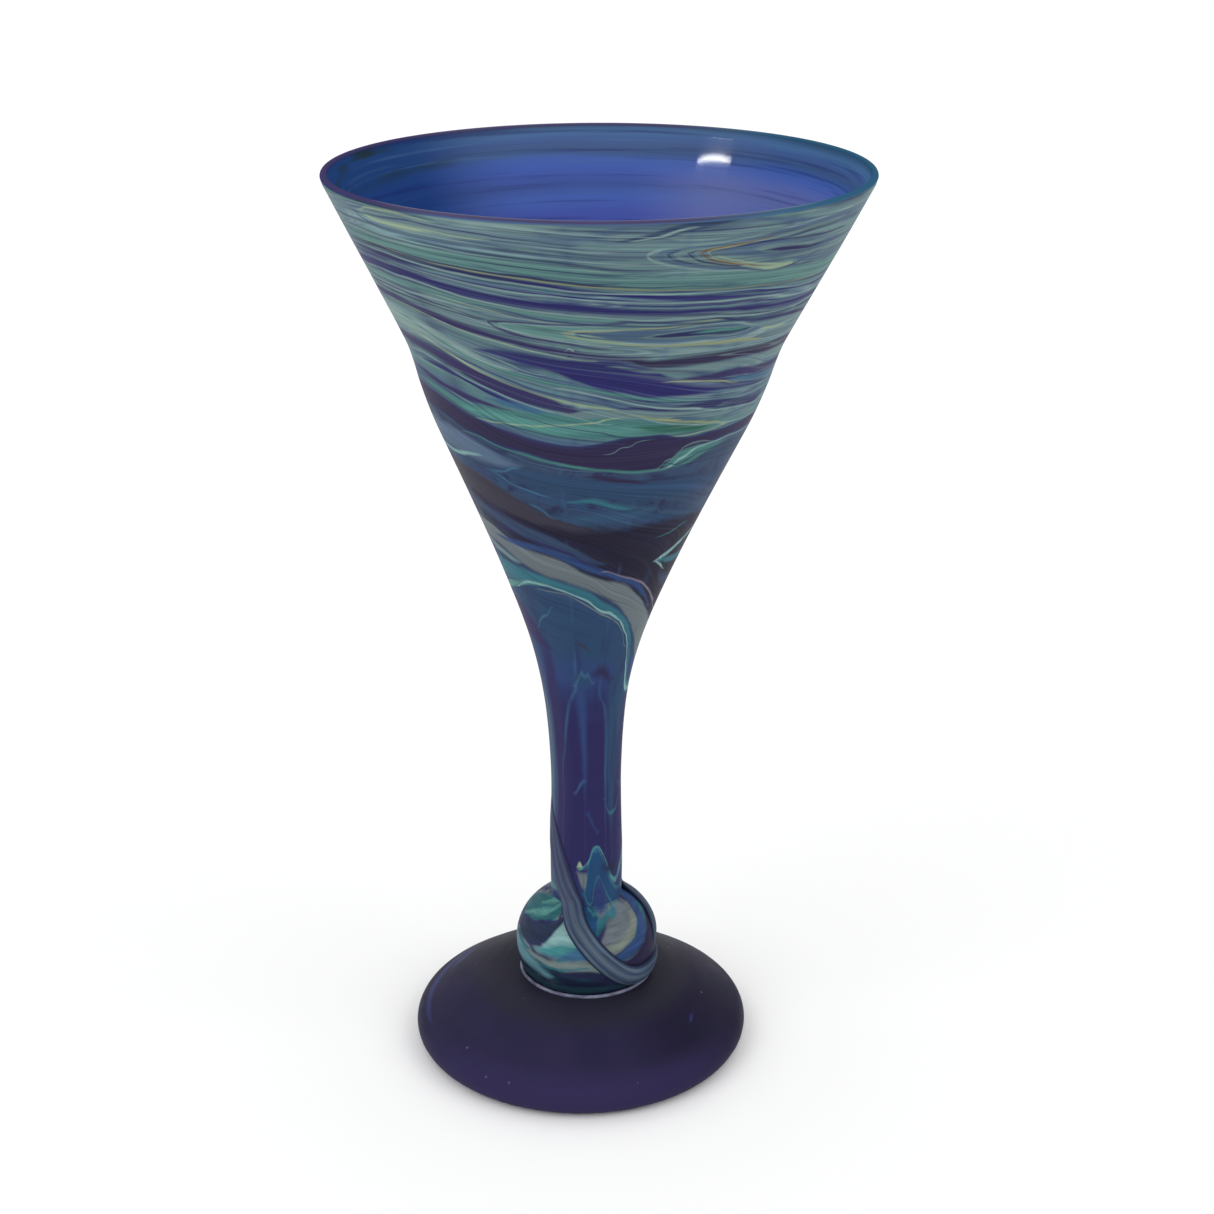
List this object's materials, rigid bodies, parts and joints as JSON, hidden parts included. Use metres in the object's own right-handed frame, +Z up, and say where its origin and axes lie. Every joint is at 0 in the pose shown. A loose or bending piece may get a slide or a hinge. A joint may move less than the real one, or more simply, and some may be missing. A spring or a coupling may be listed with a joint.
{
  "type": "martini glass",
  "caption": "Hand-blown martini glass: a flared conical bowl drawn into a slim stem, a ball knop wrapped in a twisted trail and a domed foot.",
  "frame": {"origin": "on the surface that the glass stands on, under the middle of the rim", "axes": "+Z up along the height; +X right and -Y towards the viewer of the side with the front trail; the bowl leans towards +X, so the foot's middle is 4.5 mm to the -X side"},
  "size_m": [0.1109, 0.1108, 0.1991],
  "materials": {
    "lining": "fire-polished cobalt-blue glass, glossy inside the bowl, satin on the lip",
    "casing": "satin-etched marbled glass in streaks of sage, teal, indigo and pale yellow-green",
    "knop": "satin-etched marbled glass in swirls of green, teal, grey and dark purple",
    "trail": "satin-etched blue-grey glass, streaked along its length",
    "foot": "satin-etched dark cobalt glass with faint blue streaks and tiny bubbles",
    "seam": "thin frosted white line of fused glass"
  },
  "bodies": {
    "root": {"bowl_lining": "lining", "swirl_casing": "casing", "stem_knop": "knop", "knop_trail_front": "trail", "knop_trail_side": "trail", "foot": "foot", "foot_seam": "seam"}
  },
  "joints": []
}
